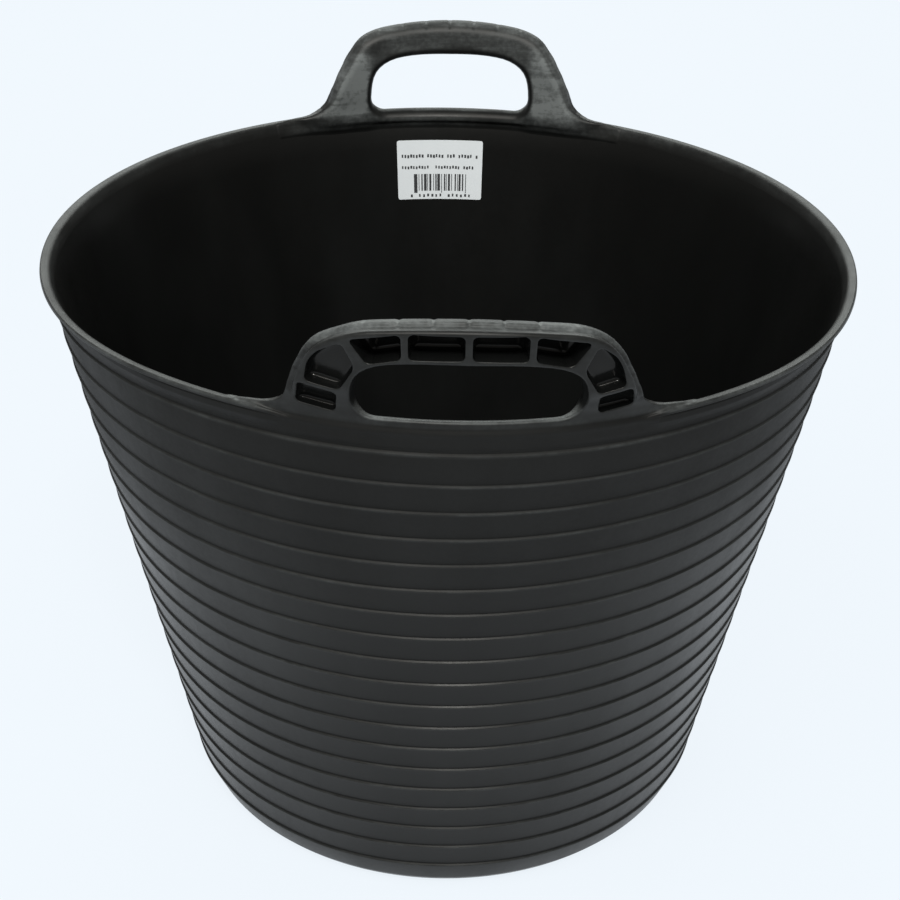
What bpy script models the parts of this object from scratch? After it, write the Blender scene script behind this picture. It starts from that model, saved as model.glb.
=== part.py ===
"""Flexible round bucket (flexible tub) with two loop handles, moulded in soft black polyethylene.

Metres, +Z up. The origin is the centre of the underside of the base, on the floor. The two
handles stand on the front (-Y) and the back (+Y) of the rim.

The tub is one turned shell: flat base, tapered wall with stepped rings outside and a smooth
inside, and a flared lip. Each handle is a loop on two feet. In the moulding the feet run into
the rim, and the soft plastic bends there when the handles are pulled together. Here each
handle is its own solid: the underside of its feet is turned about the bending line, and it
lies with a small gap in a matching hollow in the rim.
"""

import math

import bmesh
import bpy
from mathutils import Matrix, Vector

# ---- driving dimensions -------------------------------------------------
RIM_R = 0.2000          # outer radius of the lip
RIM_Z = 0.3030          # height of the lip
WALL_R0 = 0.1389        # mean outer wall radius, carried down to the floor
WALL_SLOPE = 0.1915     # growth of the wall radius with height
WALL_T = 0.0036          # wall thickness
BASE_T = 0.0042          # height of the inside floor
BASE_CORNER = 0.0175    # outer corner radius between base and wall
FOOT_IN_R = 0.1000      # the base stands on the ring outside this radius
FOOT_RISE = 0.0012      # inside it the underside is this much higher
RING_COUNT = 19
RING_TOP_Z = 0.2910     # ledge of the highest ring
RING_PITCH = 0.01506
RING_STEP = 0.0008      # how far each ledge stands out
TURN_STEPS = 56

HANDLE_X = 0.0040       # the soft rim is sprung a little sideways, so both handles sit off centre
HANDLE_RM = 0.1895      # radius of the handle's middle surface at the lip's height
HANDLE_LEAN = 0.205     # the handles lean outwards as the wall does
HANDLE_D = 0.0140       # radial depth of the handle
HOLE_HALF = 0.0465      # half the width of the hand hole
HOLE_TOP = 0.3390
HOLE_CORNER = 0.0200
BAR_TOP = 0.3060        # top of the bar under the hand hole
CROWN_Z = 0.3555
FOOT_HALF = 0.0752      # half the width over the feet
WRAP_R = 0.1930         # radius at which widths round the rim are measured
POCKET_DEPTH = 0.0090
HINGE_Z = 0.3120        # the line about which a handle bends
HINGE_R = 0.0125        # turned underside of the feet
GAP = 0.0003

LABEL_W = 0.0515
LABEL_H = 0.0350
LABEL_T = 0.0004
LABEL_TOP_Z = 0.2866
LABEL_X = -0.0034

HINGE_Y = math.cos(0.0600 / WRAP_R) * (HANDLE_RM + HANDLE_LEAN * (HINGE_Z - RIM_Z))


def clear_scene():
    for obj in list(bpy.data.objects):
        bpy.data.objects.remove(obj, do_unlink=True)


clear_scene()
parts = bpy.data.collections.new("flexible_bucket")
cutters = bpy.data.collections.new("cutters")
for collection in (parts, cutters):
    bpy.context.scene.collection.children.link(collection)


def material(name, colour, roughness, metallic=0.0):
    found = bpy.data.materials.new(name)
    found.use_nodes = True
    shader = found.node_tree.nodes["Principled BSDF"]
    shader.inputs["Base Color"].default_value = (*colour, 1.0)
    shader.inputs["Roughness"].default_value = roughness
    shader.inputs["Metallic"].default_value = metallic
    found.diffuse_color = (*colour, 1.0)
    return found


def add(name, mesh, collection, mat=None):
    obj = bpy.data.objects.new(name, mesh)
    collection.objects.link(obj)
    if mat is not None:
        mesh.materials.append(mat)
    if collection is cutters:
        obj.hide_render = True
        obj.display_type = "WIRE"
    return obj


def evaluated_mesh(obj, name):
    bpy.context.view_layer.update()
    graph = bpy.context.evaluated_depsgraph_get()
    return bpy.data.meshes.new_from_object(obj.evaluated_get(graph), depsgraph=graph)


def cut(obj, cutter, operation="DIFFERENCE"):
    modifier = obj.modifiers.new(cutter.name, "BOOLEAN")
    modifier.object = cutter
    modifier.operation = operation
    modifier.solver = "EXACT"


def smooth(mesh, degrees=32.0):
    mesh.shade_smooth()
    mesh.set_sharp_from_angle(angle=math.radians(degrees))


# ---- tub ----------------------------------------------------------------
def wall_r(z):
    return WALL_R0 + WALL_SLOPE * z


def arc(centre, radius, start, end, count):
    """Points (r, z) on an arc, angles in degrees from +r towards +z."""
    found = []
    for i in range(count):
        a = math.radians(start + (end - start) * i / (count - 1))
        found.append((centre[0] + radius * math.cos(a), centre[1] + radius * math.sin(a)))
    return found


def tub_profile():
    """(r, z) from the inner edge of the lip, over it, down the outside, under the base and up the inside."""
    points = []
    # lip: crown, outer edge, undercut
    points += [(0.1968, RIM_Z - 0.0006), (0.1984, RIM_Z), (0.1994, RIM_Z - 0.0003), (RIM_R, RIM_Z - 0.0012)]
    points += [(RIM_R, RIM_Z - 0.0036), (0.1993, RIM_Z - 0.0048), (0.1966, RIM_Z - 0.0070)]
    # stepped rings: each ring narrows downwards, and the next one starts with a ledge
    half = RING_STEP / 2
    for ring in range(RING_COUNT):
        z = RING_TOP_Z - RING_PITCH * ring
        points.append((wall_r(z) - half, z + 0.0005))
        points.append((wall_r(z) + half, z - 0.0004))
    # bottom corner and underside
    centre = (wall_r(BASE_CORNER) - BASE_CORNER, BASE_CORNER)
    points += arc(centre, BASE_CORNER, -8, -90, 6)
    points += [(FOOT_IN_R, 0.0), (FOOT_IN_R - 0.003, FOOT_RISE), (0.0, FOOT_RISE)]
    # inside: floor, corner, smooth wall, flare of the lip
    inner = 0.0140
    points += [(0.0, BASE_T)]
    centre = (wall_r(BASE_T + inner) - WALL_T - inner, BASE_T + inner)
    points += arc(centre, inner, -90, -8, 5)
    for z in (0.110, 0.200, RIM_Z - 0.014):
        points.append((wall_r(z) - WALL_T, z))
    points += [(0.1923, RIM_Z - 0.0075), (0.1944, RIM_Z - 0.0030)]
    return points


def turned(name, profile):
    mesh = bpy.data.meshes.new(name)
    mesh.from_pydata([(r, 0.0, z) for r, z in profile], [(i, (i + 1) % len(profile)) for i in range(len(profile)) if not (profile[i][0] == 0.0 and profile[(i + 1) % len(profile)][0] == 0.0)], [])
    return mesh


plastic = material("soft_black_plastic", (0.030, 0.031, 0.031), 0.52)
tub = add("tub", turned("tub", tub_profile()), parts, plastic)
screw = tub.modifiers.new("turn", "SCREW")
screw.steps = screw.render_steps = TURN_STEPS
screw.use_merge_vertices = True
screw.merge_threshold = 0.00005
tub.data.name = "tub"


# ---- surface of the handles ----------------------------------------------
def on_handle(u, v, r, side):
    """World place of a handle point: u round the rim, v up, r outwards from the middle surface. side is -1 at the front and +1 at the back."""
    angle = u / WRAP_R
    radius = HANDLE_RM + HANDLE_LEAN * (v - RIM_Z) + r
    return Vector((radius * math.sin(angle) + HANDLE_X, side * radius * math.cos(angle), v))


def outer_edge():
    """The handle's outside outline on its right half, from the foot up to the middle of the crown."""
    found = []
    for i in range(8):
        t = i / 7
        v = 0.2960 + (0.3340 - 0.2960) * t
        found.append((FOOT_HALF - 0.455 * (v - 0.3095), v))
    corner = []
    p0, p1, p2, p3 = (0.0641, 0.3340), (0.0590, 0.3452), (0.0535, 0.3510), (0.0400, 0.3527)
    for i in range(1, 8):
        t = i / 7
        a, b, c, d = (1 - t) ** 3, 3 * t * (1 - t) ** 2, 3 * t * t * (1 - t), t ** 3
        corner.append((a * p0[0] + b * p1[0] + c * p2[0] + d * p3[0], a * p0[1] + b * p1[1] + c * p2[1] + d * p3[1]))
    found += corner
    for i in range(1, 7):
        u = 0.0400 * (1 - i / 6)
        found.append((u, CROWN_Z - (CROWN_Z - 0.3527) * (u / 0.0400) ** 2))
    return found


def inner_edge():
    """The hand hole's outline on its right half, matched point by point with outer_edge."""
    found = []
    for i in range(8):
        v = 0.2960 + (HOLE_TOP - HOLE_CORNER - 0.2960) * i / 7
        found.append((HOLE_HALF, v))
    centre = (HOLE_HALF - HOLE_CORNER, HOLE_TOP - HOLE_CORNER)
    for i in range(1, 8):
        a = math.radians(90 * i / 7)
        found.append((centre[0] + HOLE_CORNER * math.cos(a), centre[1] + HOLE_CORNER * math.sin(a)))
    for i in range(1, 7):
        found.append((centre[0] * (1 - i / 6), HOLE_TOP))
    return found


def section():
    """(s, r) round the handle's section: s from the hand hole (0) to the outside (1), r from the middle surface. It is flat outside, where the pockets are, and round inside."""
    h = HANDLE_D / 2
    points = [(0.00, h - 0.0012), (0.06, h), (0.80, h), (0.90, h - 0.0012), (0.975, h - 0.0035), (1.00, h - 0.0065)]
    points += [(0.985, -h + 0.0045), (0.90, -h + 0.0018), (0.72, -h), (0.30, -h), (0.12, -h + 0.0015), (0.0, -h + 0.0045)]
    return points


def handle_mesh(name, side):
    right = list(zip(inner_edge(), outer_edge()))
    stations = right + [((-i[0], i[1]), (-o[0], o[1])) for i, o in reversed(right[:-1])]
    shape = section()
    bm = bmesh.new()
    rings = []
    for inner, outer in stations:
        ring = []
        for s, r in shape:
            u = inner[0] + (outer[0] - inner[0]) * s
            v = inner[1] + (outer[1] - inner[1]) * s
            ring.append(bm.verts.new(on_handle(u, v, r, side)))
        rings.append(ring)
    for a, b in zip(rings, rings[1:]):
        for i in range(len(shape)):
            j = (i + 1) % len(shape)
            bm.faces.new((a[i], a[j], b[j], b[i]))
    bm.faces.new(rings[0])
    bm.faces.new(list(reversed(rings[-1])))
    bmesh.ops.triangulate(bm, faces=[f for f in bm.faces if len(f.verts) == 4])
    bmesh.ops.recalc_face_normals(bm, faces=bm.faces)
    mesh = bpy.data.meshes.new(name)
    bm.to_mesh(mesh)
    bm.free()
    return mesh


def hinge_trim(name, side):
    """Everything under the feet and outside the turned underside, as one long bar."""
    curve = bpy.data.curves.new(name, "CURVE")
    curve.dimensions = "2D"
    curve.fill_mode = "BOTH"
    curve.extrude = 0.110
    outline = [(-0.045, 0.0), (-HINGE_R, 0.0)]
    for i in range(1, 16):
        a = math.radians(180 + 180 * i / 16)
        outline.append((HINGE_R * math.cos(a), HINGE_R * math.sin(a)))
    outline += [(HINGE_R, 0.0), (0.045, 0.0), (0.045, -0.045), (-0.045, -0.045)]
    spline = curve.splines.new("POLY")
    spline.points.add(len(outline) - 1)
    for point, (a, b) in zip(spline.points, outline):
        point.co = (a, b, 0.0, 1.0)
    spline.use_cyclic_u = True
    guide = bpy.data.objects.new(name + "_outline", curve)
    bpy.context.scene.collection.objects.link(guide)
    mesh = evaluated_mesh(guide, name)
    bpy.data.objects.remove(guide)
    bm = bmesh.new()
    bm.from_mesh(mesh)
    bmesh.ops.remove_doubles(bm, verts=bm.verts, dist=1e-6)
    # outline x, y, extrusion z become world y, z, x
    bm.transform(Matrix(((0, 0, 1, HANDLE_X), (1, 0, 0, side * HINGE_Y), (0, 1, 0, HINGE_Z), (0, 0, 0, 1))))
    bmesh.ops.recalc_face_normals(bm, faces=bm.faces)
    bm.to_mesh(mesh)
    bm.free()
    return add(name, mesh, cutters)


# Pocket outlines on the right half, (u, v) corners
POCKETS = (
    ((0.0014, 0.3410), (0.0224, 0.3410), (0.0222, 0.3516), (0.0014, 0.3518)),
    ((0.0250, 0.3408), (0.0388, 0.3368), (0.0448, 0.3466), (0.0250, 0.3512)),
    ((0.0430, 0.3340), (0.0500, 0.3222), (0.0628, 0.3244), (0.0590, 0.3370), (0.0530, 0.3440), (0.0478, 0.3456)),
    ((0.0508, 0.3198), (0.0524, 0.3130), (0.0668, 0.3130), (0.0640, 0.3215)),
)


def pocket_mesh(name, corners, side, mirror):
    """A pocket as a prism that tapers a little towards its floor, following the handle's curve."""
    cu = sum(c[0] for c in corners) / len(corners)
    cv = sum(c[1] for c in corners) / len(corners)
    # points along the outline, so that the prism follows the curve
    outline = []
    for (a, b), (c, d) in zip(corners, corners[1:] + corners[:1]):
        steps = max(1, round(math.hypot(c - a, d - b) / 0.008))
        outline += [(a + (c - a) * i / steps, b + (d - b) * i / steps) for i in range(steps)]
    bm = bmesh.new()
    rings = []
    for r, shrink in ((HANDLE_D / 2 + 0.004, 1.0), (HANDLE_D / 2 - POCKET_DEPTH, 0.90)):
        rings.append([bm.verts.new(on_handle(mirror * (cu + (u - cu) * shrink), cv + (v - cv) * shrink, r, side)) for u, v in outline])
    bm.faces.new(rings[0])
    bm.faces.new(list(reversed(rings[1])))
    n = len(outline)
    for i in range(n):
        bm.faces.new((rings[0][i], rings[0][(i + 1) % n], rings[1][(i + 1) % n], rings[1][i]))
    bmesh.ops.triangulate(bm, faces=bm.faces)
    bmesh.ops.recalc_face_normals(bm, faces=bm.faces)
    mesh = bpy.data.meshes.new(name)
    bm.to_mesh(mesh)
    bm.free()
    return mesh


def seat_mesh(name, side, mirror):
    """The hollow in the rim that takes a foot, with the gap all round."""
    inside, outside = HOLE_HALF - 0.0006, FOOT_HALF + 0.0062
    x0 = math.sin(inside / WRAP_R) * (HANDLE_RM - HANDLE_D / 2) - GAP
    x1 = math.sin(outside / WRAP_R) * (HANDLE_RM + HANDLE_D / 2) + GAP
    bm = bmesh.new()
    bmesh.ops.create_cone(bm, cap_ends=True, segments=48, radius1=HINGE_R + GAP + 0.0001, radius2=HINGE_R + GAP + 0.0001, depth=x1 - x0)
    bm.transform(Matrix.Translation((HANDLE_X + mirror * (x0 + x1) / 2, side * HINGE_Y, HINGE_Z)) @ Matrix.Rotation(math.radians(90), 4, "Y"))
    mesh = bpy.data.meshes.new(name)
    bm.to_mesh(mesh)
    bm.free()
    return mesh


def bar_mesh(name, side):
    """The bar between the feet: a round rail along the rim that closes the hand hole below."""
    curve = bpy.data.curves.new(name, "CURVE")
    curve.dimensions = "3D"
    curve.bevel_depth = 0.0050
    curve.bevel_resolution = 2
    curve.use_fill_caps = True
    spline = curve.splines.new("POLY")
    count = 13
    spline.points.add(count - 1)
    reach = HOLE_HALF + 0.004
    for i, point in enumerate(spline.points):
        u = -reach + 2 * reach * i / (count - 1)
        p = on_handle(u, RIM_Z, 0.0, side)
        point.co = (p.x, p.y, BAR_TOP - 0.0050, 1.0)
    guide = bpy.data.objects.new(name + "_rail", curve)
    bpy.context.scene.collection.objects.link(guide)
    mesh = evaluated_mesh(guide, name)
    bpy.data.objects.remove(guide)
    bm = bmesh.new()
    bm.from_mesh(mesh)
    bmesh.ops.remove_doubles(bm, verts=bm.verts, dist=1e-6)
    bmesh.ops.recalc_face_normals(bm, faces=bm.faces)
    bm.to_mesh(mesh)
    bm.free()
    return mesh


def recentre(obj, origin):
    """Moves an object's own origin without moving its shape."""
    obj.data.transform(Matrix.Translation(-Vector(origin)))
    obj.location = origin


for word, side in (("front", -1), ("back", 1)):
    rail = add("bar_" + word, bar_mesh("bar_" + word, side), cutters)
    cut(tub, rail, "UNION")
    for hand, mirror in (("left", -1), ("right", 1)):
        cut(tub, add(f"seat_{word}_{hand}", seat_mesh(f"seat_{word}_{hand}", side, mirror), cutters))
    grip = material("soft_black_plastic_" + word, (0.034, 0.035, 0.035), 0.48)
    handle = add("handle_" + word, handle_mesh("handle_" + word, side), parts, grip)
    recentre(handle, (HANDLE_X, side * HINGE_Y, HINGE_Z))
    cut(handle, hinge_trim("trim_" + word, side))
    for i, corners in enumerate(POCKETS):
        for hand, mirror in (("left", -1), ("right", 1)):
            name = f"pocket_{word}_{hand}_{i}"
            cut(handle, add(name, pocket_mesh(name, corners, side, mirror), cutters))

# ---- label on the inside of the back wall ----------------------------------
def label_mesh():
    """A thin sheet that follows the inside wall, with cut corners."""
    cell = 10
    depth = WALL_T + 0.0006
    bm = bmesh.new()
    layers = []
    for extra in (0.0, LABEL_T):
        grid = []
        for j in (0, 1, 2, 3):
            down = (0.0, 0.0012, LABEL_H - 0.0012, LABEL_H)[j]
            z = LABEL_TOP_Z - down * math.cos(math.atan(WALL_SLOPE))
            radius = wall_r(z) - depth - extra
            trim = 0.0012 if j in (0, 3) else 0.0
            row = []
            for i in range(cell + 1):
                x = LABEL_X + (LABEL_W / 2 - trim) * (2 * i / cell - 1)
                a = x / wall_r(LABEL_TOP_Z)
                row.append(bm.verts.new((radius * math.sin(a), radius * math.cos(a), z)))
            grid.append(row)
        layers.append(grid)
    for k, grid in enumerate(layers):
        for a, b in zip(grid, grid[1:]):
            for i in range(cell):
                bm.faces.new((a[i], a[i + 1], b[i + 1], b[i]) if k else (b[i], b[i + 1], a[i + 1], a[i]))
    outer, inner = layers
    edge = [(0, i) for i in range(cell)] + [(j, cell) for j in range(3)] + [(3, cell - i) for i in range(cell)] + [(3 - j, 0) for j in range(3)]
    for (a, b), (c, d) in zip(edge, edge[1:] + edge[:1]):
        bm.faces.new((outer[a][b], outer[c][d], inner[c][d], inner[a][b]))
    bmesh.ops.triangulate(bm, faces=bm.faces)
    bmesh.ops.recalc_face_normals(bm, faces=bm.faces)
    mesh = bpy.data.meshes.new("barcode_label")
    bm.to_mesh(mesh)
    bm.free()
    return mesh


add("barcode_label", label_mesh(), parts, material("white_paper", (0.86, 0.86, 0.86), 0.55))

for obj in parts.objects:
    smooth(obj.data)
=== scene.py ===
"""Florist's bucket: flexible black tub with two loop handles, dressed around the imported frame."""

import math

import bpy
import numpy as np
from mathutils import Matrix, Vector


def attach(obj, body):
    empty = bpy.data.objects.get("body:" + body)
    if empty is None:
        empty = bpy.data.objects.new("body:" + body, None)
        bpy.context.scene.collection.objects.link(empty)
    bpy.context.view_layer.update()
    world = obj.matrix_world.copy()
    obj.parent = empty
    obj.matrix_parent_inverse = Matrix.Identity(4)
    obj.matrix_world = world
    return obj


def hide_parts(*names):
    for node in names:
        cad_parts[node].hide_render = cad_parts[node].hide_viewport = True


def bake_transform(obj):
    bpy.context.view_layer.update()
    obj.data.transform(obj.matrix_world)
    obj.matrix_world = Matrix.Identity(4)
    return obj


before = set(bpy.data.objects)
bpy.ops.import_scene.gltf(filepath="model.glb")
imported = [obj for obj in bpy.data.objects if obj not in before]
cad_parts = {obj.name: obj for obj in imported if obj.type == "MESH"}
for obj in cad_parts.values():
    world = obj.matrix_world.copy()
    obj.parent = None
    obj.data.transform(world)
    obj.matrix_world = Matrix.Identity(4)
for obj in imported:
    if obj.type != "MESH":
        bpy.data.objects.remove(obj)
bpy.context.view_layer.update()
MM = 0.001

# ---------------------------------------------------------------- dimensions, in millimetres
RIM_Z = 303.0
WALL_R0, WALL_SLOPE, WALL_T = 138.9, 0.1915, 3.6
RINGS, RING_TOP, RING_PITCH, RING_STEP = 19, 291.0, 15.06, 0.8
BASE_T, FOOT_IN, FOOT_RISE = 4.2, 100.0, 1.2
HANDLE_X, HANDLE_RM, HANDLE_LEAN, WRAP_R = 4.0, 189.5, 0.205, 193.0
CREST_Z = 355.5
HOLE_HALF, HOLE_BOTTOM = 46.5, 304.8
POCKET_DEPTHS = (11.6, 11.6, 6.4, 4.4)
POCKETS = (
    ((1.4, 340.1), (22.4, 339.4), (22.2, 351.6), (1.4, 351.8)),
    ((25.0, 339.2), (38.4, 335.6), (44.8, 346.6), (25.0, 351.2)),
    ((43.0, 333.0), (50.2, 320.6), (61.9, 323.4), (57.8, 335.6), (52.0, 342.2), (47.4, 344.4)),
    ((51.2, 318.2), (53.4, 306.0), (70.0, 308.4), (65.2, 321.8)),
)
GROOVES, GROOVE_PITCH = 9, 13.4


def mean_r(z):
    return WALL_R0 + WALL_SLOPE * z


def smoothstep(a, b, x):
    t = np.clip((np.asarray(x, float) - a) / (b - a), 0, 1)
    return t * t * (3 - 2 * t)


# ---------------------------------------------------------------- the soft tub's slight set
SET_TILT, SET_FRONT_TILT, SET_LIFT, SET_PULL = 0.0073, 0.0135, 2.1, 3.4


def settle(p):
    """The rest shape of the flexible moulding: its mouth leans a little and its front rim is drawn in. p in mm."""
    x, y, z = p[:, 0], p[:, 1], p[:, 2]
    r = np.maximum(np.hypot(x, y), 1.0)
    angle = np.degrees(np.arctan2(np.abs(x), -y))
    near = smoothstep(68, 24, angle) * smoothstep(60, 150, r)
    high = smoothstep(120, 303, z)
    top = smoothstep(225, 303, z)
    front = smoothstep(0, 170, -y)
    lip = smoothstep(283, 302, z) * (1 - smoothstep(306, 324, z)) * near
    out = p.copy()
    out[:, 2] = z - SET_TILT * x * high - SET_FRONT_TILT * x * front * top + SET_LIFT * lip
    out[:, 0] = x - SET_PULL * lip * x / r
    out[:, 1] = y - SET_PULL * lip * y / r
    return out


# ---------------------------------------------------------------- profiles
def rounded(points, arc=6):
    """A polyline's corners turned to arcs. points are (x, y, radius); every corner gives arc + 1 points."""
    pts = [np.array(p[:2], float) for p in points]
    out = [pts[0]]
    for i in range(1, len(pts) - 1):
        a, b, c, r = pts[i - 1], pts[i], pts[i + 1], points[i][2]
        if r <= 0:
            out.append(b)
            continue
        u, v = a - b, c - b
        lu, lv = np.linalg.norm(u), np.linalg.norm(v)
        u, v = u / lu, v / lv
        turn = math.acos(max(-1.0, min(1.0, float(u @ v))))
        if turn > math.pi - 1e-3:
            out.extend([b + u * 1e-3 * (arc - 2 * k) for k in range(arc + 1)])
            continue
        cut = min(r / math.tan(turn / 2), 0.49 * lu, 0.49 * lv)
        r = cut * math.tan(turn / 2)
        centre = b + (u + v) / np.linalg.norm(u + v) * r / math.sin(turn / 2)
        s, e = b + u * cut - centre, b + v * cut - centre
        sweep = math.atan2(s[0] * e[1] - s[1] * e[0], float(s @ e))
        for k in range(arc + 1):
            t = sweep * k / arc
            out.append(centre + np.array([s[0] * math.cos(t) - s[1] * math.sin(t), s[0] * math.sin(t) + s[1] * math.cos(t)]))
    out.append(pts[-1])
    return np.array(out)


LIP_PLAIN = [(193.1, 296.8, 6.0), (195.4, 302.5, 2.6), (199.7, 303.0, 0.9), (200.0, 301.1, 0.5),
             (197.3, 300.3, 0.4), (196.6, 299.5, 0.8), (196.1, 297.9, 2.4), (195.4, 294.4, 3.0)]
LIP_BEAD = [(193.1, 296.8, 6.0), (195.4, 302.5, 2.6), (199.7, 303.0, 0.9), (200.0, 301.1, 0.5),
            (198.8, 300.6, 0.5), (199.2, 299.8, 0.8), (199.0, 297.6, 2.2), (195.9, 294.2, 3.0)]
LIP_COVERED = [(192.6, 295.0, 6.0), (194.2, 299.6, 2.0), (196.4, 300.2, 0.9), (197.0, 299.3, 0.5),
               (196.7, 298.6, 0.4), (196.4, 298.0, 0.8), (196.0, 296.8, 2.4), (195.4, 294.4, 3.0)]


def blend_points(a, b, t):
    return [tuple(p + (q - p) * t for p, q in zip(one, two)) for one, two in zip(a, b)]


def lip_points(s, covered=0.0):
    """Rim from the inside of the lip to the first ring. s: how far the bead below the lip stands out; covered: under a handle."""
    return blend_points(blend_points(LIP_PLAIN, LIP_BEAD, s), LIP_COVERED, covered)


def tub_profile(s, covered=0.0):
    """One closed section of the tub in (r, z), from the inside of the lip over it, down, under and up again."""
    pts = lip_points(s, covered)
    for k in range(RINGS):
        z = RING_TOP - RING_PITCH * k
        r = mean_r(z)
        pts.append((r - RING_STEP / 2, z + 0.45, 0.2))
        pts.append((r + RING_STEP / 2, z - 0.35, 0.35))
        below = (1.45 - 0.35) / (RING_PITCH - 0.8)
        pts.append((r + RING_STEP / 2 - (RING_STEP + WALL_SLOPE * RING_PITCH) * below, z - 1.45, 0))
    foot = mean_r(0.0)
    pts += [
        (foot - 1.2, 6.5, 3.0),
        (foot - 6.0, 0.6, 9.0),
        (foot - 14.0, 0.0, 6.0),
        (FOOT_IN + 1.5, 0.0, 0.6),
        (FOOT_IN, FOOT_RISE, 0.6),
    ]
    under = [(60.0, FOOT_RISE, 0), (25.0, FOOT_RISE, 0), (8.0, FOOT_RISE, 0), (2.0, FOOT_RISE, 0)]
    inner_foot = mean_r(BASE_T) - WALL_T
    inside = [
        (2.0, BASE_T, 0),
        (8.0, BASE_T, 0),
        (25.0, BASE_T, 0),
        (60.0, BASE_T, 0),
        (inner_foot - 1.0, BASE_T, 14.0),
    ]
    inside += [(mean_r(z) - WALL_T, z, 0) for z in (30.0, 60.0, 90.0, 120.0, 150.0, 180.0, 210.0, 235.0, 255.0, 270.0, 282.0)]
    inside.append((mean_r(290.0) - WALL_T, 290.0, 0))
    start = (mean_r(290.0) - WALL_T, 290.0, 0)
    outer = rounded([start] + pts + under[:1], 6)[1:-1]
    inner = rounded(under[-1:] + inside, 6)[1:]
    return np.vstack([outer, np.array([p[:2] for p in under]), inner])


def bead(theta):
    """How far the bead under the lip stands out, by the angle from the nearer handle."""
    a = np.degrees(np.abs(np.arcsin(np.clip(np.sin(theta), -1, 1))))
    return 1 - smoothstep(32, 66, a)


def covered_by_handle(u):
    return 1 - smoothstep(72, 90, np.abs(u))


def lip_wear(r, z):
    """Rubbed, slightly milky plastic along the top of the lip."""
    return np.maximum(0.16 * smoothstep(300.9, 302.3, z) * smoothstep(193.8, 195.2, r), 0.09 * smoothstep(296, 301, z) * (r < 195.2))


# small knocks on the lip: angle from the front in degrees, radius, how wide
NICKS = ((-28.6, 197.0, 1.6), (-27.6, 198.6, 1.0), (-33.0, 197.8, 1.1), (30.9, 197.4, 0.9),
         (29.8, 198.4, 1.0), (31.5, 196.4, 0.8), (41.0, 197.9, 1.2), (-52.0, 198.0, 1.0), (78.0, 197.6, 1.2), (-101.0, 197.2, 1.4),
         (150.0, 197.5, 1.3), (205.0, 198.2, 1.5), (212.0, 196.8, 1.0), (-64.0, 196.4, 0.9), (118.0, 197.0, 1.0))


def nicks(x, y, z):
    r, angle = np.hypot(x, y), np.degrees(np.arctan2(x, -y))
    found = np.zeros_like(x)
    for where, radius, wide in NICKS:
        along = ((angle - where + 180) % 360 - 180) * math.pi / 180 * 197
        found = np.maximum(found, np.exp(-((along / (1.6 * wide)) ** 2) - ((r - radius) / wide) ** 2) * smoothstep(300.5, 302, z) * smoothstep(304.6, 303.4, z))
    return 0.6 * found


def dull(x, y, z):
    """The outside of the upper wall mirrors less than the rest."""
    outside = smoothstep(-2.8, -1.0, np.hypot(x, y) - mean_r(z))
    return smoothstep(160, 280, z) * (1 - smoothstep(298.5, 303, z)) * outside


def new_mesh(name, verts, faces, material, smooth=True, **fields):
    mesh = bpy.data.meshes.new(name)
    mesh.from_pydata([tuple(v) for v in (verts * MM).tolist()], [], faces if isinstance(faces, list) else faces.tolist())
    mesh.validate()
    if smooth:
        mesh.shade_smooth()
    obj = bpy.data.objects.new(name, mesh)
    bpy.context.scene.collection.objects.link(obj)
    if material:
        mesh.materials.append(material)
    for field, found in fields.items():
        values = mesh.attributes.new(field, "FLOAT", "POINT")
        values.data.foreach_set("value", np.asarray(found, np.float32))
    return obj


def make_tub(material):
    turns = 540
    levels = [tub_profile(s) for s in np.linspace(0, 1, 11)]
    under = tub_profile(1.0, 1.0)
    angles = 2 * np.pi * np.arange(turns) / turns
    rings = []
    for a in angles:
        s = float(bead(a)) * 10
        i = min(int(s), 9)
        p = levels[i] * (1 - (s - i)) + levels[i + 1] * (s - i)
        side = 1 if math.cos(a) > 0 else -1
        u = WRAP_R * math.asin(max(-1.0, min(1.0, (193.0 * math.sin(a) - HANDLE_X) / 193.0)))
        t = float(covered_by_handle(u))
        p = p * (1 - t) + under * t
        rings.append(np.stack([p[:, 0] * math.sin(a), -p[:, 0] * math.cos(a), p[:, 1]], 1))
    n = len(rings[0])
    verts = np.vstack(rings)
    i, j = np.meshgrid(np.arange(turns), np.arange(n), indexing="ij")
    i2, j2 = (i + 1) % turns, (j + 1) % n
    ids = np.stack([i * n + j, i * n + j2, i2 * n + j2, i2 * n + j], -1).reshape(-1, 4)
    # the section passes the axis at two discs, so the strip between them is left out and capped
    zs = levels[0]
    inner = np.hypot(verts[:, 0], verts[:, 1]) < 3.0
    low = [k for k in range(n) if zs[k, 0] < 3.0]
    bottom, top = low[0], low[1]
    keep = ~((ids % n == bottom).any(1) & (ids % n == top).any(1))
    faces = ids[keep].tolist()
    faces.append([int(k * n + bottom) for k in range(turns)])
    faces.append([int(k * n + top) for k in range(turns)][::-1])
    r, z = np.hypot(verts[:, 0], verts[:, 1]), verts[:, 2]
    wear = np.maximum(lip_wear(r, z), nicks(*verts.T))
    # painted highlight: a thin light-grey line along the outer edge of every ring ledge
    for k in range(RINGS):
        at = z - (RING_TOP - RING_PITCH * k)
        edge = (at > -1.0) & (at < -0.1) & (r > mean_r(z) - 0.6)
        wear = np.where(edge, 0.09, wear)
    wear = np.maximum(wear, 0.1 * (z < 3.0) * (r > FOOT_IN))
    return new_mesh("tub_moulding", settle(verts), faces, material, wear=wear, dull=dull(*verts.T))


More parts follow.
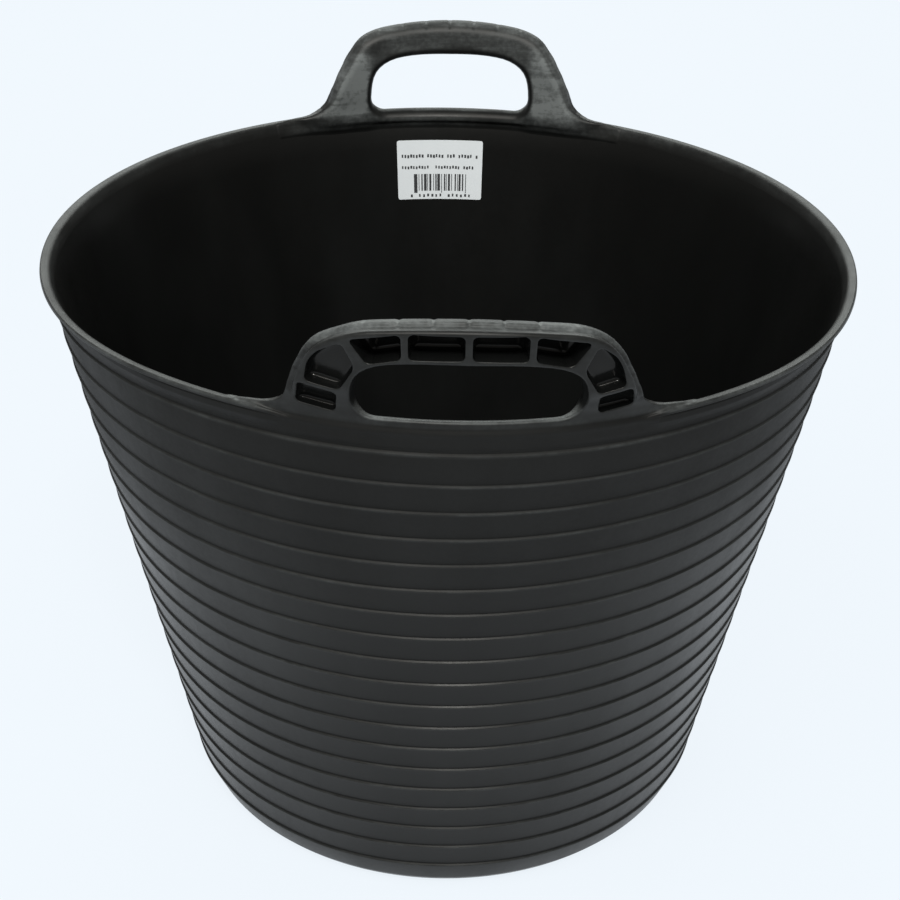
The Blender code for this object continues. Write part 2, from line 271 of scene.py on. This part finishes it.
# ---------------------------------------------------------------- the handles, as a distance field in (u, v, w)
def polygon_distance(px, py, poly):
    """Signed distance to a closed polygon, negative inside."""
    best = np.full(px.shape, 1e9)
    inside = np.zeros(px.shape, bool)
    for (ax, ay), (bx, by) in zip(poly, np.roll(poly, -1, 0)):
        ex, ey = bx - ax, by - ay
        wx, wy = px - ax, py - ay
        t = np.clip((wx * ex + wy * ey) / (ex * ex + ey * ey + 1e-12), 0, 1)
        best = np.minimum(best, (wx - t * ex) ** 2 + (wy - t * ey) ** 2)
        cross = (ay > py) != (by > py)
        with np.errstate(divide="ignore", invalid="ignore"):
            at = ax + (py - ay) * ex / np.where(ey == 0, 1e-12, ey)
        inside ^= cross & (px < at)
    return np.where(inside, -1, 1) * np.sqrt(best)


class Field:
    """A 2D field on a grid, read with bilinear interpolation."""

    def __init__(self, values, x0, y0, step):
        self.v, self.x0, self.y0, self.step = values, x0, y0, step

    def __call__(self, x, y):
        fx = np.clip((x - self.x0) / self.step, 0, self.v.shape[0] - 1.001)
        fy = np.clip((y - self.y0) / self.step, 0, self.v.shape[1] - 1.001)
        i, j = fx.astype(int), fy.astype(int)
        fx, fy = fx - i, fy - j
        v = self.v
        return (v[i, j] * (1 - fx) + v[i + 1, j] * fx) * (1 - fy) + (v[i, j + 1] * (1 - fx) + v[i + 1, j + 1] * fx) * fy


def field_of(poly, x0, x1, y0, y1, step):
    xs, ys = np.arange(x0, x1 + step, step), np.arange(y0, y1 + step, step)
    gx, gy = np.meshgrid(xs, ys, indexing="ij")
    return Field(polygon_distance(gx, gy, poly), x0, y0, step)


def bezier(a, b, c, d, n=14):
    t = np.linspace(0, 1, n)[:, None]
    a, b, c, d = (np.array(p, float) for p in (a, b, c, d))
    return (1 - t) ** 3 * a + 3 * (1 - t) ** 2 * t * b + 3 * (1 - t) * t * t * c + t**3 * d


def outer_outline():
    half = [(101.0, 292.0), (101.0, 301.6), (97.0, 302.5), (92.0, 303.3), (87.0, 303.9), (82.8, 304.9), (79.5, 306.3),
            (76.9, 308.1), (75.0, 310.3), (73.6, 312.6), (72.3, 315.6), (71.3, 319.0), (69.4, 323.0), (66.8, 328.0), (63.6, 333.0)]
    curve = bezier((63.6, 333.0), (58.4, 342.8), (51.4, 349.6), (38.0, 352.4))
    crown = [(u, CREST_Z - 3.1 * (u / 38.0) ** 2) for u in (34, 30, 26, 22, 18, 14, 10, 7, 4)]
    right = half + [tuple(p) for p in curve[1:]] + crown
    return np.array(right + [(0.0, CREST_Z)] + [(-u, v) for u, v in reversed(right)])


def hole_outline():
    right = [(4, 337.8), (10, 337.75), (16, 337.6), (22, 337.2), (27, 336.6), (31, 335.9), (35.0, 334.7), (38.4, 333.0),
             (41.2, 330.9), (43.3, 328.4), (44.8, 325.4), (45.7, 322.0), (46.2, 318.4), (46.5, 314.0)]
    for k in range(0, 13):
        a = math.radians(90 * k / 12)
        right.append((HOLE_HALF - 9.0 + 9.0 * math.cos(a), HOLE_BOTTOM + 9.0 - 9.0 * math.sin(a)))
    right += [(30.0, HOLE_BOTTOM), (20.0, HOLE_BOTTOM), (10.0, HOLE_BOTTOM)]
    return np.array([(0.0, 337.75)] + right + [(0.0, HOLE_BOTTOM)] + [(-u, v) for u, v in reversed(right)])


def rmax(a, b, r):
    """Intersection whose edge has radius r."""
    return np.minimum(np.maximum(a, b), -r) + np.hypot(np.maximum(a + r, 0), np.maximum(b + r, 0))


def smin(a, b, k):
    h = np.maximum(k - np.abs(a - b), 0) / k
    return np.minimum(a, b) - h * h * k / 4


def line_field(a, b, u, v):
    """Distance to the right of the line a to b, in the plane (u, v)."""
    dx, dy = b[0] - a[0], b[1] - a[1]
    n = math.hypot(dx, dy)
    return ((u - a[0]) * dy - (v - a[1]) * dx) / n


OUTLINE = field_of(outer_outline(), -115, 115, 284, 362, 0.5)
HOLE = field_of(hole_outline(), -60, 60, 292, 345, 0.5)


def rim_field(covered):
    pts = [(mean_r(284) - WALL_T, 284.0, 0), (mean_r(290) - WALL_T, 290.0, 0)] + lip_points(1.0, covered)
    pts += [(mean_r(291.45) - 0.4, 291.45, 0.2), (mean_r(290.65) + 0.4, 290.65, 0.3), (mean_r(284), 284.0, 0)]
    return field_of(rounded(pts, 8), 176, 206, 282, 308, 0.2)


RIM_BEAD, RIM_COVERED = rim_field(0.0), rim_field(1.0)
_v = np.arange(280, 370, 0.5)
W_OUT = np.full(len(_v), 7.0)
_in = np.maximum(-7.0, -0.6 - HANDLE_LEAN * (_v - RIM_Z)) + 5.4 * smoothstep(300.5, 292.5, _v)
for _ in range(6):
    _in[1:-1] = (_in[:-2] + 2 * _in[1:-1] + _in[2:]) / 4
W_IN = _in
TILT = 1 / np.hypot(1, np.gradient(W_IN, 0.5))


UNION = 3.5


def handle_field(u, v, w):
    """Negative inside the handle's material, with the rim it grows from. Millimetres."""
    w_real = w
    w = w + HANDLE_X * np.sin(u / WRAP_R) * smoothstep(320, 305, v)
    d_out = -OUTLINE(u, v)
    near = (np.abs(u) < 59) & (v < 344.5) & (v > 293.0)
    d_hole = np.where(near, HOLE(u, v), 8.0)
    e = 0.6
    gv = (OUTLINE(u, v + e) - OUTLINE(u, v - e)) / (2 * e)
    crown = smoothstep(0.45, 0.92, gv)
    w_out = np.interp(v, _v, W_OUT)
    flare = smoothstep(68, 98, np.abs(u)) * smoothstep(322, 308, v)
    w_in = np.interp(v, _v, W_IN)
    w_in = w_in + (np.maximum(w_in, 4.6) - w_in) * flare + 2.1 * flare * smoothstep(307, 302, v)
    w_out = w_out - 1.2 * smoothstep(303.5, 299.5, v) * smoothstep(60, 80, np.abs(u))
    tilt = np.interp(v, _v, TILT)
    # raised face, and the rolled edge set back behind it
    face_d = 2.7 - 1.1 * crown
    step_side = face_d - d_out
    edge_w = 4.6 - 3.2 * crown
    edge_w = edge_w + (8.0 - edge_w) * smoothstep(66, 74, np.abs(u)) * smoothstep(324, 314, v)
    edge_top = w - edge_w
    raised = rmax(w - w_out, step_side, 1.0 + 1.2 * crown)
    rolled = rmax(edge_top, -d_out, 1.7)
    grip = np.zeros_like(u)
    for k in range(-(GROOVES // 2), GROOVES // 2 + 1):
        grip = np.maximum(grip, np.exp(-(((u - GROOVE_PITCH * k) / 0.8) ** 2)))
    rolled = rolled + 0.5 * grip * smoothstep(351.0, 353.0, v)
    outer = smin(raised, rolled, 0.8)
    inner = (w_in - w) * tilt
    round_in = np.clip(0.46 * (w_out - w_in), 0.3, 6.0 - 4.0 * flare)
    body = rmax(np.maximum(outer, -d_out), inner, round_in)
    low = smoothstep(313, 304, v) * smoothstep(52, 40, np.abs(u))
    edge = 1.1 + 0.7 * low
    hole = rmax(-d_hole, w - w_out, edge)
    hole = rmax(hole, inner, 3.4 + 3.6 * low)
    f = np.maximum(body, hole)
    f = rmax(f, 293.8 - v, 0.9)
    # pockets
    au = np.abs(u)
    inside = (au < 70) & (v > 306) & (v < 354)
    if inside.any():
        pu, pv, pw = au[inside], v[inside], w[inside]
        depth = w_out[inside] - pw
        pocket = np.full(len(pu), 50.0)
        thick = w_out[inside] - w_in[inside]
        for quad, deep in zip(POCKETS, POCKET_DEPTHS):
            sides = [line_field(a, b, pu, pv) for a, b in zip(quad, quad[1:] + quad[:1])]
            shape = sides[0]
            for side in sides[1:]:
                shape = rmax(shape, side, 2.2)
            shape = shape + 0.045 * depth
            shape = rmax(shape, depth - np.minimum(deep, thick - 2.0), 2.6)
            pocket = np.minimum(pocket, shape)
        part = f[inside]
        part = rmax(part, -pocket, 0.5)
        f[inside] = part
    # the rim under and beside it
    radius = HANDLE_RM + HANDLE_LEAN * (v - RIM_Z) + w_real
    a = u / WRAP_R
    x, y = radius * np.sin(a) + HANDLE_X, radius * np.cos(a)
    r = np.hypot(x, y)
    t = covered_by_handle(u)
    rim = RIM_BEAD(r, v) * (1 - t) + RIM_COVERED(r, v) * t
    both = smin(f, rim, UNION)
    gain = rim - both
    both = both + 0.03 * (1 - smoothstep(0.0, 0.2, gain))
    away = f - rim - UNION
    return both + np.maximum(away, 0) * 0.6 + np.maximum(292.5 - v, 0) * 0.8


def surface_nets(field, lo, hi, step):
    n = [int(round((h - l) / step)) + 1 for l, h in zip(lo, hi)]
    axes = [l + step * np.arange(k) for l, k in zip(lo, n)]
    values = np.empty(n, np.float32)
    gv, gw = np.meshgrid(axes[1], axes[2], indexing="ij")
    gv, gw = gv.ravel(), gw.ravel()
    for i, u in enumerate(axes[0]):
        values[i] = field(np.full(gv.shape, u), gv, gw).reshape(n[1], n[2])
    sign = values < 0
    cells = [k - 1 for k in n]
    ids, points, quads = [], [], []
    for axis in range(3):
        a = [slice(None)] * 3
        b = [slice(None)] * 3
        a[axis], b[axis] = slice(0, -1), slice(1, None)
        crossing = np.argwhere(sign[tuple(a)] != sign[tuple(b)])
        other = [k for k in range(3) if k != axis]
        ok = np.ones(len(crossing), bool)
        for k in other:
            ok &= (crossing[:, k] > 0) & (crossing[:, k] < n[k] - 1)
        crossing = crossing[ok]
        nxt = crossing.copy()
        nxt[:, axis] += 1
        f0, f1 = values[tuple(crossing.T)], values[tuple(nxt.T)]
        t = f0 / (f0 - f1)
        at = crossing.astype(float)
        at[:, axis] += t
        flip = ~sign[tuple(crossing.T)]
        corner = []
        for d1, d2 in ((-1, -1), (0, -1), (0, 0), (-1, 0)):
            c = crossing.copy()
            c[:, other[0]] += d1
            c[:, other[1]] += d2
            flat = (c[:, 0] * cells[1] + c[:, 1]) * cells[2] + c[:, 2]
            corner.append(flat)
            ids.append(flat)
            points.append(at)
        quad = np.stack(corner, 1)
        if axis == 1:
            flip = ~flip
        quad[flip] = quad[flip][:, ::-1]
        quads.append(quad)
    ids, points, quads = np.concatenate(ids), np.concatenate(points), np.concatenate(quads)
    unique, index = np.unique(ids, return_inverse=True)
    count = np.bincount(index)
    verts = np.stack([np.bincount(index, points[:, k]) / count for k in range(3)], 1)
    verts = verts * step + np.array(lo)
    quads = np.searchsorted(unique, quads)
    return verts, quads


def on_surface(field, p, rounds=4, e=0.08, most=0.6):
    start = p.copy()
    for _ in range(rounds):
        f = field(p[:, 0], p[:, 1], p[:, 2])
        g = np.stack([(field(*(p + d).T) - field(*(p - d).T)) / (2 * e) for d in np.eye(3) * e], 1)
        move = -(f / np.maximum((g * g).sum(1), 0.05))[:, None] * g
        length = np.linalg.norm(move, axis=1, keepdims=True)
        p = p + move * np.minimum(1, 0.25 / np.maximum(length, 1e-9))
    away = p - start
    length = np.linalg.norm(away, axis=1, keepdims=True)
    return start + away * np.minimum(1, most / np.maximum(length, 1e-9))


def handle_wear(u, v, w):
    """Lighter, milky grey by position: abraded plastic on the crown and its grip grooves; the inner face of the handle
    lighter, most on the posts; painted highlights on the rounded outer edge of the posts and along the bottom edge and
    lower corners of the hole.
    """
    d_out = -OUTLINE(u, v)
    near = (np.abs(u) < 59) & (v < 344.5) & (v > 293.0)
    d_hole = np.where(near, HOLE(u, v), 8.0)
    w_in = np.interp(v, _v, W_IN)
    post = smoothstep(44, 54, np.abs(u)) * smoothstep(348, 338, v) * smoothstep(301, 309, v)
    away = smoothstep(2.4, 5.0, d_hole)
    w = w + HANDLE_X * np.sin(u / WRAP_R) * smoothstep(320, 305, v)
    w_in = w_in + (np.maximum(w_in, 4.4) - w_in) * smoothstep(68, 98, np.abs(u)) * smoothstep(322, 308, v)
    low = smoothstep(294.5, 297.0, v) * smoothstep(108, 70, np.abs(u))
    inner = smoothstep(2.6, 0.3, w - w_in)
    wear = inner * away * (0.98 * post + 0.22 * (1 - post)) * low
    top = v + 2.8 * (u / 40.0) ** 2 * (np.abs(u) < 50)
    crown = smoothstep(352.6, 354.4, top) * smoothstep(64, 50, np.abs(u))
    wear = np.maximum(wear, 0.09 * crown)
    # painted highlight: the rounded outer edge of the posts painted light where it would catch the light from above
    shoulder_highlight = smoothstep(3.4, 1.0, d_out) * smoothstep(306, 316, v) * smoothstep(5.0, 2.0, w)
    wear = np.maximum(wear, 0.42 * shoulder_highlight)
    for k in range(-(GROOVES // 2), GROOVES // 2 + 1):
        spot = np.exp(-(((u - GROOVE_PITCH * k) / 1.2) ** 2)) * smoothstep(353.2, 354.4, top) * smoothstep(4.0, 1.0, np.abs(w + 2.0))
        wear = np.maximum(wear, 0.9 * spot)
    # painted highlight: the outer edge of the hole's bottom and its lower corners painted light
    foot = smoothstep(1.3, 0.2, np.abs(d_hole)) * smoothstep(312, 306, v) * smoothstep(50, 46, np.abs(u)) * (w > 2.0)
    wear = np.maximum(wear, 0.42 * foot)
    # the pockets keep their moulded gloss
    au = np.abs(u)
    for quad in POCKETS:
        sides = [line_field(a, b, au, v) for a, b in zip(quad, quad[1:] + quad[:1])]
        within = np.max(sides, axis=0) < 0.3
        wear = np.where(within & (w < 6.4) & (w > w_in + 1.2), -1.0, wear)
    return wear


def make_handles(material):
    step = 0.5
    verts, quads = surface_nets(handle_field, (-112.0, 288.0, -14.0), (112.0, 358.0, 16.0), step)
    verts = on_surface(handle_field, verts)
    made = []
    for name, side in (("handle_front", -1), ("handle_back", 1)):
        u, v, w = verts.T.copy()
        outside = smoothstep(47, 60, np.abs(u)) * smoothstep(303, 312, v)
        if side > 0:
            u = u - np.sign(u) * 2.2 * outside * smoothstep(352, 340, v)
        else:
            u = u - 3.6 * outside * smoothstep(353, 343, v) * smoothstep(300, 340, v) * (u < 0)
            u = u + 1.4 * smoothstep(28, 44, u) * smoothstep(72, 56, u) * smoothstep(302, 306, v)
        radius = HANDLE_RM + HANDLE_LEAN * (v - RIM_Z) + w
        a = u / WRAP_R
        world = np.stack([radius * np.sin(a) + HANDLE_X, side * radius * np.cos(a), v], 1)
        faces = quads if side > 0 else quads[:, ::-1]
        away = smoothstep(92, 74, np.abs(verts[:, 0]))
        # abraded plastic plus painted edge highlights, then the lip and its knocks
        rubbed_and_highlit = handle_wear(*verts.T)
        wear = np.where(rubbed_and_highlit < 0, rubbed_and_highlit, 1) * np.maximum(np.abs(rubbed_and_highlit), lip_wear(np.hypot(world[:, 0], world[:, 1]), v) * (1 - away * 0.7))
        wear = np.where(wear < 0, wear, np.maximum(wear, nicks(*world.T)))
        made.append(new_mesh(name + "_moulding", settle(world), faces, material, wear=wear, dull=dull(*world.T)))
    return made


# ---------------------------------------------------------------- materials
def nodes_of(material):
    material.use_nodes = True
    tree = material.node_tree
    return tree, tree.nodes, tree.links, tree.nodes["Principled BSDF"]


def math_node(nodes, links, operation, first, second=None, clamp=False):
    n = nodes.new("ShaderNodeMath")
    n.operation, n.use_clamp = operation, clamp
    for socket, value in zip(n.inputs, (first, second)):
        if value is None:
            continue
        if isinstance(value, (int, float)):
            socket.default_value = value
        else:
            links.new(value, socket)
    return n.outputs[0]


def noise(nodes, links, coords, scale, detail, stretch=(1, 1, 1), roughness=0.55):
    place = nodes.new("ShaderNodeMapping")
    place.inputs["Scale"].default_value = stretch
    links.new(coords, place.inputs["Vector"])
    n = nodes.new("ShaderNodeTexNoise")
    n.inputs["Scale"].default_value = scale
    n.inputs["Detail"].default_value = detail
    n.inputs["Roughness"].default_value = roughness
    links.new(place.outputs["Vector"], n.inputs["Vector"])
    return n.outputs["Fac"]


def spread(nodes, links, value, low, high, to_low, to_high):
    n = nodes.new("ShaderNodeMapRange")
    n.interpolation_type = "SMOOTHSTEP"
    links.new(value, n.inputs["Value"])
    for name, number in (("From Min", low), ("From Max", high), ("To Min", to_low), ("To Max", to_high)):
        n.inputs[name].default_value = number
    return n.outputs["Result"]


def plastic():
    """Black flexible polyethylene: satin, faintly wavy and grained; its base colour goes milky grey where the plastic
    is abraded and where highlights are painted on edges.
    """
    m = bpy.data.materials.new("black_soft_plastic")
    tree, nodes, links, shader = nodes_of(m)
    coords = nodes.new("ShaderNodeTexCoord").outputs["Object"]
    wear_and_highlight_attr = nodes.new("ShaderNodeAttribute")
    wear_and_highlight_attr.attribute_name = "wear"
    wear_and_highlight_attr = wear_and_highlight_attr.outputs["Fac"]
    patches = spread(nodes, links, noise(nodes, links, coords, 42, 5), 0.30, 0.70, 0.45, 1.45)
    fine = spread(nodes, links, noise(nodes, links, coords, 420, 4), 0.25, 0.75, 0.7, 1.3)
    rubs = spread(nodes, links, noise(nodes, links, coords, 55, 6, (0.6, 0.6, 5.0), 0.65), 0.35, 0.68, 0.7, 1.35)
    # milky grey from the mesh attribute: abraded plastic, plus painted highlights on the ring ledges, the post edges
    # and the hole's foot
    scuff_and_highlight = math_node(nodes, links, "MULTIPLY", wear_and_highlight_attr, patches)
    scuff_and_highlight = math_node(nodes, links, "MULTIPLY", scuff_and_highlight, fine)
    scuff_and_highlight = math_node(nodes, links, "MULTIPLY", scuff_and_highlight, rubs, clamp=True)
    haze = spread(nodes, links, noise(nodes, links, coords, 11, 6, (1.0, 1.0, 0.45)), 0.40, 0.72, 0.0, 0.016)
    amount = math_node(nodes, links, "ADD", scuff_and_highlight, haze, clamp=True)
    colour = nodes.new("ShaderNodeMix")
    colour.data_type = "RGBA"
    colour.inputs["A"].default_value = (0.0046, 0.0048, 0.0046, 1)
    colour.inputs["B"].default_value = (0.150, 0.160, 0.157, 1)
    links.new(amount, colour.inputs["Factor"])
    links.new(colour.outputs["Result"], shader.inputs["Base Color"])
    grain = noise(nodes, links, coords, 1500, 3)
    wave = noise(nodes, links, coords, 26, 3, (1.0, 1.0, 0.35))
    dull = math_node(nodes, links, "MULTIPLY", scuff_and_highlight, 0.30)
    rough = math_node(nodes, links, "ADD", dull, spread(nodes, links, wave, 0.3, 0.7, 0.31, 0.39))
    rough = math_node(nodes, links, "ADD", rough, spread(nodes, links, fine, 0.7, 1.3, -0.02, 0.02), clamp=True)
    gloss = math_node(nodes, links, "MULTIPLY", wear_and_highlight_attr, -0.18, clamp=True)
    rough = math_node(nodes, links, "SUBTRACT", rough, gloss, clamp=True)
    upper = nodes.new("ShaderNodeAttribute")
    upper.attribute_name = "dull"
    upper = math_node(nodes, links, "MULTIPLY", upper.outputs["Fac"], 0.29)
    rough = math_node(nodes, links, "ADD", rough, upper, clamp=True)
    links.new(rough, shader.inputs["Roughness"])
    shader.inputs["Specular IOR Level"].default_value = 0.19
    shader.inputs["Specular Tint"].default_value = (1.0, 0.965, 0.915, 1)
    height = math_node(nodes, links, "MULTIPLY", grain, 0.02)
    height = math_node(nodes, links, "ADD", height, math_node(nodes, links, "MULTIPLY", wave, 0.5))
    height = math_node(nodes, links, "ADD", height, math_node(nodes, links, "MULTIPLY", scuff_and_highlight, 0.04))
    bump = nodes.new("ShaderNodeBump")
    bump.inputs["Strength"].default_value = 0.55
    bump.inputs["Distance"].default_value = 0.0012
    links.new(height, bump.inputs["Height"])
    links.new(bump.outputs["Normal"], shader.inputs["Normal"])
    return m


def paper():
    m = bpy.data.materials.new("label_paper")
    tree, nodes, links, shader = nodes_of(m)
    coords = nodes.new("ShaderNodeTexCoord").outputs["Object"]
    cloud = noise(nodes, links, coords, 90, 4)
    fibre = noise(nodes, links, coords, 1400, 3)
    colour = nodes.new("ShaderNodeMix")
    colour.data_type = "RGBA"
    colour.inputs["A"].default_value = (0.72, 0.755, 0.77, 1)
    colour.inputs["B"].default_value = (0.79, 0.82, 0.83, 1)
    links.new(cloud, colour.inputs["Factor"])
    links.new(colour.outputs["Result"], shader.inputs["Base Color"])
    links.new(spread(nodes, links, fibre, 0.3, 0.7, 0.5, 0.62), shader.inputs["Roughness"])
    bump = nodes.new("ShaderNodeBump")
    bump.inputs["Strength"].default_value = 0.2
    bump.inputs["Distance"].default_value = 0.0001
    links.new(fibre, bump.inputs["Height"])
    links.new(bump.outputs["Normal"], shader.inputs["Normal"])
    return m


def ink():
    m = bpy.data.materials.new("label_ink")
    tree, nodes, links, shader = nodes_of(m)
    coords = nodes.new("ShaderNodeTexCoord").outputs["Object"]
    colour = nodes.new("ShaderNodeMix")
    colour.data_type = "RGBA"
    colour.inputs["A"].default_value = (0.012, 0.013, 0.014, 1)
    colour.inputs["B"].default_value = (0.05, 0.052, 0.055, 1)
    links.new(noise(nodes, links, coords, 900, 3), colour.inputs["Factor"])
    links.new(colour.outputs["Result"], shader.inputs["Base Color"])
    shader.inputs["Roughness"].default_value = 0.6
    return m


# ---------------------------------------------------------------- the label on the inside of the back wall
LABEL_X, LABEL_TOP, LABEL_W, LABEL_H = -1.6, 286.6, 51.5, 35.0
BARS = (5, 2, 1, 3, 2, 2, 4, 1, 1, 2, 3, 3, 1, 2, 2, 1, 4, 2, 1, 3, 2, 1, 1, 2, 3, 2, 1, 4, 2, 2, 1, 1, 3, 2, 2, 3, 1, 2)


def on_wall(x, down, lift):
    """Label coordinates in millimetres, x across and down from its top edge, to a point lift inside the back wall."""
    x, down, lift = np.broadcast_arrays(np.asarray(x, float), np.asarray(down, float), np.asarray(lift, float))
    z = LABEL_TOP - down * math.cos(math.atan(WALL_SLOPE))
    r = mean_r(z) - WALL_T - lift
    a = (LABEL_X + x) / (mean_r(LABEL_TOP) - WALL_T)
    return np.stack([r * np.sin(a), r * np.cos(a), z], -1)


def make_label(paper_material, ink_material):
    corner, half = 1.3, LABEL_W / 2
    xs = np.concatenate([[-half, -half + 0.25, -half + 0.65], np.linspace(-half + corner, half - corner, 33), [half - 0.65, half - 0.25, half]])
    ys = np.concatenate([[0.0, 0.25, 0.65], np.linspace(corner, LABEL_H - corner, 13), [LABEL_H - 0.65, LABEL_H - 0.25, LABEL_H]])
    gx, gy = np.meshgrid(xs, ys, indexing="ij")
    inset = np.maximum(corner - (half - np.abs(gx)), 0)
    fall = corner - np.sqrt(np.maximum(corner**2 - inset**2, 0))
    gy = np.where(gy < corner, fall + gy * (corner - fall) / corner, gy)
    rest = LABEL_H - gy
    gy = np.where(rest < corner, LABEL_H - (fall + rest * (corner - fall) / corner), gy)
    nx, ny = gx.shape
    front, back = on_wall(gx, gy, 0.35).reshape(-1, 3), on_wall(gx, gy, -0.3).reshape(-1, 3)
    n = nx * ny
    faces = []
    for i in range(nx - 1):
        for j in range(ny - 1):
            a, b, c, d = i * ny + j, (i + 1) * ny + j, (i + 1) * ny + j + 1, i * ny + j + 1
            faces.append((a, d, c, b))
            faces.append((n + a, n + b, n + c, n + d))
    border = [(i, 0) for i in range(nx)] + [(nx - 1, j) for j in range(1, ny)] + [(i, ny - 1) for i in range(nx - 2, -1, -1)] + [(0, j) for j in range(ny - 2, 0, -1)]
    ids = [i * ny + j for i, j in border]
    for a, b in zip(ids, ids[1:] + ids[:1]):
        faces.append((a, b, n + b, n + a))
    label = new_mesh("label_sheet", settle(np.vstack([front, back])), faces, paper_material, smooth=False)

    boxes = []
    at = -half + 9.9
    for k, width in enumerate(BARS):
        width *= 0.41
        if k % 2 == 0:
            tall = 11.2 if k in (0, 18, 36) else 10.0
            boxes.append((at, at + width, 20.0, 20.0 + tall))
        at += width
    for row, pattern, height, pitch, wide in ((8.3, "111111110111111011101111101", 1.9, 1.72, 1.12), (15.1, "111111111100111111111011110", 1.7, 1.70, 1.05), (31.9, "001011111101111110000000000", 1.7, 2.55, 1.15)):
        x = -half + 2.7
        for k, on in enumerate(pattern):
            if on == "1" and x < half - 3.0:
                lift = 0.18 * ((k * 7) % 3 - 1)
                boxes.append((x, x + wide * (0.82 + 0.09 * ((k * 5) % 4)), row + 0.1 + lift, row + height + lift))
            x += pitch
    verts, faces = [], []
    for x0, x1, y0, y1 in boxes:
        base = len(verts)
        for lift in (0.47, 0.2):
            for x, y in ((x0, y0), (x1, y0), (x1, y1), (x0, y1)):
                verts.append(on_wall(x, y, lift))
        faces += [tuple(base + k for k in f) for f in ((3, 2, 1, 0), (4, 5, 6, 7), (0, 1, 5, 4), (1, 2, 6, 5), (2, 3, 7, 6), (3, 0, 4, 7))]
    marks = new_mesh("label_print", settle(np.array(verts)), faces, ink_material, smooth=False)
    return label, marks


# ---------------------------------------------------------------- stage, light, camera
def emission(name, colour, strength):
    m = bpy.data.materials.new(name)
    m.use_nodes = True
    nodes, links = m.node_tree.nodes, m.node_tree.links
    nodes.clear()
    out = nodes.new("ShaderNodeOutputMaterial")
    e = nodes.new("ShaderNodeEmission")
    e.inputs["Color"].default_value = (*colour, 1)
    e.inputs["Strength"].default_value = strength
    d = nodes.new("ShaderNodeBsdfDiffuse")
    d.inputs["Color"].default_value = (0.06, 0.063, 0.066, 1)
    add = nodes.new("ShaderNodeAddShader")
    links.new(e.outputs[0], add.inputs[0])
    links.new(d.outputs[0], add.inputs[1])
    links.new(add.outputs[0], out.inputs["Surface"])
    return m


def make_stage():
    mesh = bpy.data.meshes.new("floor")
    s = 16.0
    mesh.from_pydata([(-s, -s, 0), (s, -s, 0), (s, s, 0), (-s, s, 0)], [], [(0, 1, 2, 3)])
    floor = bpy.data.objects.new("floor", mesh)
    floor.location.z = -0.0005
    bpy.context.scene.collection.objects.link(floor)
    mesh.materials.append(emission("pale_floor", (0.871, 0.93, 0.985), 0.93))
    world = bpy.data.worlds.new("studio")
    bpy.context.scene.world = world
    world.use_nodes = True
    back = world.node_tree.nodes["Background"]
    back.inputs["Color"].default_value = (1.0, 0.99, 0.96, 1)
    back.inputs["Strength"].default_value = 0.34


def area(name, place, target, size, power, colour=(1, 1, 1)):
    light = bpy.data.lights.new(name, "AREA")
    light.shape = "RECTANGLE"
    light.size, light.size_y = size
    light.energy = power
    light.color = colour
    obj = bpy.data.objects.new(name, light)
    obj.location = place
    obj.rotation_euler = (Vector(target) - Vector(place)).to_track_quat("-Z", "Y").to_euler()
    bpy.context.scene.collection.objects.link(obj)
    return obj


def make_camera():
    pitch, roll, turn = math.radians(31.57), math.radians(0.31), math.radians(-0.72)
    c, s = math.cos(roll), math.sin(roll)
    right, up = Vector((1, 0, 0)), Vector((0, math.sin(pitch), math.cos(pitch)))
    forward = Vector((0, math.cos(pitch), -math.sin(pitch)))
    x, y = c * right + s * up, -s * right + c * up
    basis = Matrix((x, y, -forward)).transposed()
    spin = Matrix.Rotation(turn, 3, "Z")
    camera = bpy.data.cameras.new("camera")
    camera.sensor_width = 36.0
    camera.lens = 1753.77 / 900 * 36.0
    camera.shift_x, camera.shift_y = 0.01984, 0.05601
    camera.clip_end = 50
    obj = bpy.data.objects.new("camera", camera)
    obj.matrix_world = Matrix.Translation(spin @ Vector((-0.0074, -0.8115, 0.6503))) @ (spin @ basis).to_4x4()
    bpy.context.scene.collection.objects.link(obj)
    bpy.context.scene.camera = obj


# ---------------------------------------------------------------- build
black = plastic()
tub = make_tub(black)
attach(tub, "root")
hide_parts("tub")
for obj, node, side in zip(make_handles(black), ("handle_front", "handle_back"), (-1, 1)):
    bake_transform(obj)
    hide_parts(node)
label, marks = make_label(paper(), ink())
for obj in (label, marks):
    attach(obj, "root")
    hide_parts("barcode_label")
make_stage()
area("back_low", (0.0, 1.9, 1.45), (0, 0, 0.3), (2.4, 0.9), 26, (0.94, 1.0, 0.98))
area("top_front", (-0.3, -1.1, 2.1), (0, 0, 0.2), (1.8, 1.1), 32, (1.0, 1.0, 0.98))
area("spark", (0.1, -1.5, 1.9), (0, 0, 0.3), (0.26, 0.26), 19, (0.98, 1.0, 1.0))
make_camera()
bpy.context.scene.view_settings.view_transform = "Standard"
